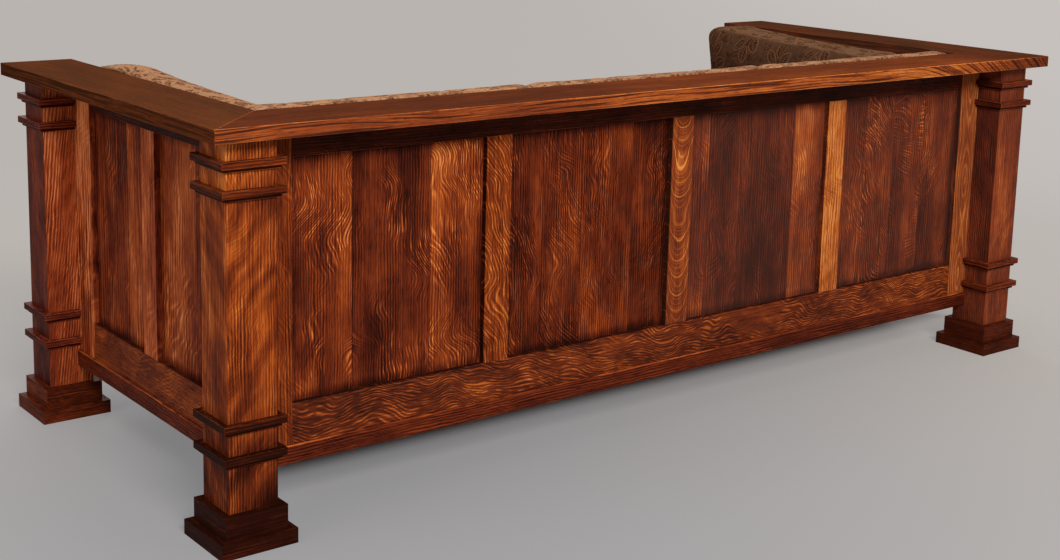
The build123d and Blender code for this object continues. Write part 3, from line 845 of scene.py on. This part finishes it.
def blowUp(shells):
    for shell in shells.values():
        cloth = shell.modifiers.new("stuffing", "CLOTH")
        for key, value in clothLook.items():
            setattr(cloth.settings, key, value)
        cloth.settings.effector_weights.gravity = 0
        cloth.point_cache.frame_end = cushionLook["steps"]
    for step in range(1, cushionLook["steps"] + 1):
        bpy.context.scene.frame_set(step)
    blown = {}
    for node, shell in shells.items():
        evaluated = shell.evaluated_get(bpy.context.evaluated_depsgraph_get())
        moved = points(evaluated.data) - points(shell.data)
        reach = np.linalg.norm(moved, axis=1, keepdims=True)
        blown[node] = moved * np.minimum(1, cushionLook["mostMove"] / np.maximum(reach, 1e-6))
        shell.modifiers.clear()
    bpy.context.scene.frame_set(1)
    return blown


def seamLoop(low, high, axis, level, count=240):
    # points round a box at one level of its thickness, with rounded corners
    inset, radius = cushionLook["seamInset"], cushionLook["seamCorner"]
    flat = [i for i in range(3) if i != axis]
    (a0, b0), (a1, b1) = low[flat] + inset + radius, high[flat] - inset - radius
    line = []
    for a, b, turn in ((a1, b1, 0), (a0, b1, 90), (a0, b0, 180), (a1, b0, 270)):
        for step in range(7):
            angle = math.radians(turn + 15 * step)
            line.append((a + radius * math.cos(angle), b + radius * math.sin(angle)))
    line = np.array(line + line[:1])
    lengths = np.concatenate([[0], np.cumsum(np.linalg.norm(np.diff(line, axis=0), axis=1))])
    marks = np.linspace(0, lengths[-1], count, endpoint=False)
    loop = np.zeros((count, 3))
    for i, column in zip(flat, line.T):
        loop[:, i] = np.interp(marks, lengths, column)
    loop[:, axis] = level
    return loop, marks


def pipeRound(mesh, path, normals, marks, crest):
    # a round cord of the same cloth, sewn into the seam
    count, sides = len(path), cushionLook["pipeSides"]
    layer = mesh.verts.layers.float_vector["clothPlace"]
    rows = []
    for i in range(count):
        ahead = path[(i + 1) % count] - path[i - 1]
        ahead /= np.linalg.norm(ahead)
        out = normals[i] - ahead * np.dot(normals[i], ahead)
        out /= np.linalg.norm(out)
        across = np.cross(ahead, out)
        row = []
        for k in range(sides):
            angle = 2 * math.pi * k / sides
            spot = path[i] + cushionLook["pipe"] * (math.cos(angle) * out + math.sin(angle) * across)
            vert = mesh.verts.new(spot)
            vert[layer] = (marks[i], cushionLook["pipeTurn"] * k, crest[i])
            row.append(vert)
        rows.append(row)
    for i in range(count):
        here, there = rows[i], rows[(i + 1) % count]
        for k in range(sides):
            face = mesh.faces.new((here[k], here[(k + 1) % sides], there[(k + 1) % sides], there[k]))
            face.smooth = True


def layCloth(before, normals, axis, outward):
    # where each point lies on the cloth, which runs from the show face over the sides
    flat = [i for i in range(3) if i != axis]
    face = before[:, axis].max() if outward > 0 else before[:, axis].min()
    depth = np.abs(before[:, axis] - face)
    wide = np.abs(normals[:, axis]) > 0.7
    sideways = np.abs(normals[:, flat[0]]) > np.abs(normals[:, flat[1]])
    cloth = np.zeros((len(before), 3))
    for column, i in enumerate(flat):
        side = ~wide & (sideways if column == 0 else ~sideways)
        fromMiddle = before[:, i] - (before[:, i].max() + before[:, i].min()) / 2
        cloth[:, column] = fromMiddle + np.where(side, np.sign(fromMiddle) * depth, 0)
    cloth[:, 0] += fabricLook["cell"][0] / 2
    return cloth


def topLine(spots, run):
    # the height of the top at each point of a standing cushion, along its run
    slices = cushionLook["slices"]
    marks = np.linspace(spots[:, run].min(), spots[:, run].max(), slices + 1)
    chosen = np.clip(np.searchsorted(marks, spots[:, run]) - 1, 0, slices - 1)
    tops = np.array([spots[chosen == i, 2].max() for i in range(slices)])
    return lambda where: np.interp(where[:, run], (marks[1:] + marks[:-1]) / 2, tops)


def rollTop(spots, axis, outward, reach, share):
    # the show face curves over towards the back as it nears the top
    wall = spots[:, axis].min() if outward > 0 else spots[:, axis].max()
    down = np.clip((topLine(spots, 1 - axis)(spots) - spots[:, 2]) / reach, 0, 1)
    pulled = share * (1 - np.sqrt(1 - (1 - down) ** 2))
    rolled = spots.copy()
    rolled[:, axis] = wall + (spots[:, axis] - wall) * (1 - pulled)
    return rolled


def sinkEnds(spots, sink, frontSink):
    # an arm cushion is lower at its back end, and at its front where it has been leaned on
    low, high = spots.min(0), spots.max(0)
    back = ((spots[:, 1] - low[1]) / (high[1] - low[1])) ** 2
    front = np.clip(1 - (spots[:, 1] - low[1]) / cushionLook["leaned"], 0, 1) ** 2
    tall = (spots[:, 2] - low[2]) / (high[2] - low[2])
    sunk = spots.copy()
    sunk[:, 2] -= (back * sink + front * frontSink) * tall
    return sunk


def levelTop(spots, axis, share):
    # raises the top where it has come out lower, most of all the points near the top
    tops, foot = topLine(spots, 1 - axis)(spots), spots[:, 2].min()
    raised = spots.copy()
    raised[:, 2] += (tops.max() - tops) * share * ((spots[:, 2] - foot) / (tops - foot)) ** 2
    return raised


def paintedSheenOf(look, outward, line):
    # painted sheen: pale where a standing cushion looks up or towards its wall
    def paintedSheenAt(spots, facing):
        if line is None:
            return np.zeros(len(spots))
        down = line(spots) - spots[:, 2]
        near = np.clip(1 - down / paintedSheenLook["reach"], 0, 1)
        toSeat = np.maximum(facing[:, look["axis"]] * outward, 0)
        up = facing[:, 2] - paintedSheenLook["turned"] * toSeat - paintedSheenLook["from"]
        up = np.clip(up / paintedSheenLook["over"], 0, 1) * paintedSheenLook["by"] * look.get("faded", 1)
        faint = np.clip(1 - down / paintedSheenLook["faintReach"], 0, 1)
        return np.minimum(near * paintedSheenLook["sharp"], 1) * up + faint * paintedSheenLook["faint"]
    return paintedSheenAt


def seamLines(shell, look, outward, before, moved):
    # the seams on the blown cushion: each point of a plain loop goes where the cloth near it went
    low, high = before.min(0), before.max(0)
    axis = look["axis"]
    nearest = treeOf(before)
    surface = BVHTree.FromObject(shell, bpy.context.evaluated_depsgraph_get())
    levels = (low[axis] + cushionLook["seamLevel"], high[axis] - cushionLook["seamLevel"])
    if look["roll"]:
        levels = levels[:1] if outward > 0 else levels[1:]
    for level in levels:
        loop, marks = seamLoop(low, high, axis, level)
        path, outs = [], []
        for spot in loop:
            found = nearest.find_n(spot, 6)
            weights = np.array([1 / (distance + 1e-4) for _, _, distance in found])
            step = (moved[[index for _, index, _ in found]] * weights[:, None]).sum(0) / weights.sum()
            place, normal, _, _ = surface.find_nearest(Vector(spot + step))
            path.append(np.array(place))
            outs.append(np.array(normal))
        path, outs = np.array(path), np.array(outs)
        for _ in range(6):
            path = (np.roll(path, 1, 0) + path * 2 + np.roll(path, -1, 0)) / 4
            outs = (np.roll(outs, 1, 0) + outs * 2 + np.roll(outs, -1, 0)) / 4
        yield path, outs, marks


def drawIn(spots, outwards, loops):
    # pull the cloth in along the seams
    seam = treeOf(np.concatenate([loop[0] for loop in loops]))
    distance = np.array([seam.find(spot)[2] for spot in spots])
    share = np.clip(1 - distance / cushionLook["seamReach"], 0, 1)[:, None]
    return spots - outwards * cushionLook["seamDepth"] * share * share


def fitRoom(spots, look, low, high, inward):
    # bring it to its room: a little past the plane that it stands on, then flat on it
    now0, now1 = spots.min(0), spots.max(0)
    inner, front, top = look["proud"]
    room0, room1 = low.copy(), high.copy()
    room0[2] -= cushionLook["press"]
    room0[1] -= front
    room1[2] += top
    if inward > 0:
        room1[0] += inner
    else:
        room0[0] -= inner
    spots = room0 + (spots - now0) * (room1 - room0) / (now1 - now0)
    spots[:, 2] = np.maximum(spots[:, 2], low[2])
    if look["fill"] > 1:
        full = cushionLook["full"]
        middle, half = (room0 + room1)[:2] / 2, (room1 - room0)[:2] / 2
        out = (spots[:, :2] - middle) / half * look["fill"]
        beyond = np.maximum(np.abs(out) - full, 0)
        out = np.sign(out) * (np.minimum(np.abs(out), full) + (1 - full) * np.tanh(beyond / (1 - full)))
        spots[:, :2] = middle + out * half
    return spots


def sewCushion(node, kind, shell, moved):
    lie = cushionLies.get(node, {})
    look = {**cushionKinds[kind], **lie}
    axis = look["axis"]
    low, high = (np.array(corner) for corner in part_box(node))
    inward = -1.0 if low[0] > 0 else 1.0
    outward = {"seat": 1.0, "back": -1.0, "arm": inward}[kind]
    before = points(shell.data)
    cloth = layCloth(before, points(shell.data, "normal"), axis, outward)
    after = before + moved * look["swell"]
    if look["roll"]:
        after = rollTop(after, axis, outward, *look["roll"])
    if lie:
        after = sinkEnds(after, lie["sink"], lie["frontSink"])
    if kind == "back":
        after = levelTop(after, axis, look["level"])
    paintedSheenAt = paintedSheenOf(look, outward, None if kind == "seat" else topLine(after, 1 - axis))
    shell.data.vertices.foreach_set("co", after.ravel())
    shell.data.update()
    outwards = points(shell.data, "normal")
    # the third cloth coordinate carries how much painted sheen a point gets
    cloth[:, 2] = paintedSheenAt(after, outwards)
    loops = [
        (path, outs, marks, paintedSheenAt(path, outs))
        for path, outs, marks in seamLines(shell, look, outward, before, after - before)
    ]
    shell.data.vertices.foreach_set("co", drawIn(after, outwards, loops).ravel())
    layer = shell.data.attributes.new("clothPlace", "FLOAT_VECTOR", "POINT")
    layer.data.foreach_set("vector", cloth.ravel())
    smooth = shell.modifiers.new("fine", "SUBSURF")
    smooth.levels = 1
    smooth.render_levels = 1
    fine = baked(shell)
    work = bmesh.new()
    work.from_mesh(fine)
    for path, outs, marks, crest in loops:
        pipeRound(work, path + outs * 0.0004, outs, marks, crest)
    work.to_mesh(fine)
    work.free()
    fine.vertices.foreach_set("co", fitRoom(points(fine), look, low, high, inward).ravel())
    fine.update()
    for polygon in fine.polygons:
        polygon.use_smooth = True
    fine.materials.clear()
    fine.materials.append(fabric)
    piece = bpy.data.objects.new(node + "_sewn", fine)
    bpy.context.scene.collection.objects.link(piece)
    bpy.data.objects.remove(shell)
    return piece


cushionBodies = {}
for body, row in frame["record"]["behaviour"]["bodies"].items():
    for node in row:
        if "cushion" in node:
            cushionBodies[node] = body
shells = {node: startShell(node, node.split("_")[0]) for node in cushionBodies}
print("settle: cushion shells", {node: len(shell.data.vertices) for node, shell in shells.items()})
moves = blowUp(shells)
for node, body in cushionBodies.items():
    kind = node.split("_")[0]
    piece = sewCushion(node, kind, shells[node], moves[node])
    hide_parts(node)
    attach(piece, body)
print("settle: cushions sewn")


# Floor, lamps, camera
studio = {
    "floorFar": paint(185, 180, 176), "floorRight": paint(199, 193, 189), "floorNear": paint(158, 158, 161),
    "litGain": 1.10, "rightWay": (-0.79, 0.61), "rightReach": (-0.5, 3.6),
    "coolSpot": (0.85, 0.55), "coolReach": (0.1, 2.4),   # a painted shadow, a cooler grey behind the settle
    "shadowReach": (1.5, 3.4),   # from here to here the floor stops taking shadow
    "shadowLit": 0.5,            # how much the shadow is lightened beside the settle
    # where it stays dark under the seat
    "underMiddle": (-0.16, -0.14), "underHalf": (0.94, 0.27), "underEdge": 0.08,
    "world": 0.30, "worldTint": (1, 0.985, 0.96, 1), "worldShown": paint(200, 194, 190),
}


def makeFloor():
    bpy.ops.mesh.primitive_circle_add(vertices=96, radius=40, fill_type="NGON")
    floor = bpy.context.object
    floor.name = "floor"
    finish = Finish("paleFloor")
    x, y, z = finish.place()
    # painted shadow: a cooler, darker grey patch on the floor behind the settle
    right, back = x - studio["coolSpot"][0], y - studio["coolSpot"][1]
    paintedShadow = (right * right + back * back).root().eased(*studio["coolReach"])
    aside = x * studio["rightWay"][0] + y * studio["rightWay"][1]
    far = finish.mix(aside.eased(*studio["rightReach"]), studio["floorFar"], studio["floorRight"])
    colour = finish.mix(paintedShadow, studio["floorNear"], far)
    lit = finish.mix(1.0, colour, (studio["litGain"],) * 3 + (1.0,), "MULTIPLY")
    finish.surface(Base_Color=lit, Roughness=0.9, Specular_IOR_Level=0.1)
    seen = finish.add("ShaderNodeLightPath")
    mirrored = Signal(finish, seen.socket.node.outputs["Is Glossy Ray"])
    away = (x * x + y * y).root().eased(*studio["shadowReach"])
    pastX, pastY = (
        abs(spot - middle) - half
        for spot, middle, half in zip((x, y), studio["underMiddle"], studio["underHalf"])
    )
    beside = pastX.atLeast(pastY).eased(0.0, studio["underEdge"]) * studio["shadowLit"]
    away = away * (1.0 - beside) + beside
    glow = finish.add("ShaderNodeEmission", {}, {"Color": colour, "Strength": 1.0})
    both = finish.mixShaders(seen.atLeast(mirrored) * away, Signal(finish, finish.shader.outputs[0]), glow)
    finish.join(finish.tree.nodes["Material Output"].inputs[0], both)
    floor.data.materials.append(finish.material)
    floor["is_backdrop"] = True


def makeWorld():
    world = bpy.data.worlds.new("studio")
    bpy.context.scene.world = world
    sky = Finish(world)
    sky.join(sky.shader.inputs[0], studio["worldTint"])
    sky.join(sky.shader.inputs[1], studio["world"])
    shown = sky.add("ShaderNodeBackground", {}, {0: studio["worldShown"]})
    rays = sky.add("ShaderNodeLightPath").socket.node.outputs
    kinds = [Signal(sky, rays["Is " + kind + " Ray"]) for kind in ("Camera", "Glossy", "Transmission")]
    pick = sky.mixShaders(reduce(Signal.atLeast, kinds), Signal(sky, sky.shader.outputs[0]), shown)
    sky.join(sky.tree.nodes["World Output"].inputs[0], pick)


# Each lamp: where it hangs, what it points at, its width and height, watts and tint
lampLooks = {
    "keyLamp": ((2.0, 5.0, 3.5), (0.1, 0.2, 0.4), (2.6, 1.4), 320, (1, 0.96, 0.9)),
    "endLamp": ((4.6, 0.4, 2.4), (0.8, 0.0, 0.4), (2.4, 2.0), 34, (1, 0.97, 0.93)),
    "topLamp": ((0.0, 0.0, 4.4), (0.0, 0.0, 0.3), (3.6, 2.6), 34, (1, 1, 1)),
    "seatLamp": ((-1.0, -4.2, 2.8), (0.0, 0.0, 0.4), (3.0, 2.0), 70, (1, 0.98, 0.95)),
}


def makeLamps():
    for name, (place, aim, size, watts, tint) in lampLooks.items():
        lamp = bpy.data.lights.new(name, "AREA")
        lamp.shape = "RECTANGLE"
        lamp.size, lamp.size_y = size
        lamp.energy = watts
        lamp.color = tint
        holder = bpy.data.objects.new(name, lamp)
        holder.location = place
        holder.rotation_euler = (Vector(aim) - Vector(place)).to_track_quat("-Z", "Y").to_euler()
        bpy.context.scene.collection.objects.link(holder)


cameraLook = {
    "place": (2.1932, 2.6811, 1.1336),
    "turn": 0.6623, "tip": 0.1759, "lean": 0.0244,   # radians
    "focalPixels": 1577.0, "pixelsWide": 1060, "drop": -130.0,
}


def makeCamera():
    turn, tip, lean = cameraLook["turn"], cameraLook["tip"], cameraLook["lean"]
    ahead = Vector((-math.sin(turn) * math.cos(tip), -math.cos(turn) * math.cos(tip), -math.sin(tip)))
    level = Vector((-math.cos(turn), math.sin(turn), 0))
    upright = level.cross(ahead)
    right = level * math.cos(lean) + upright * math.sin(lean)
    up = right.cross(ahead)
    data = bpy.data.cameras.new("camera")
    data.sensor_width = 36
    data.lens = cameraLook["focalPixels"] * 36 / cameraLook["pixelsWide"]
    data.shift_y = cameraLook["drop"] / cameraLook["pixelsWide"]
    data.clip_end = 200
    camera = bpy.data.objects.new("camera", data)
    turnMatrix = Matrix((right, up, -ahead)).transposed().to_4x4()
    camera.matrix_world = Matrix.Translation(cameraLook["place"]) @ turnMatrix
    bpy.context.scene.collection.objects.link(camera)
    bpy.context.scene.camera = camera


makeFloor()
makeWorld()
makeLamps()
makeCamera()
bpy.context.scene.view_settings.view_transform = "Standard"
print("settle: floor, lamps and camera placed")

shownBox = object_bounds()
boxes = {"cad": cadBox, "visual": shownBox}
{name: [list(corner) for corner in box] for name, box in boxes.items()}
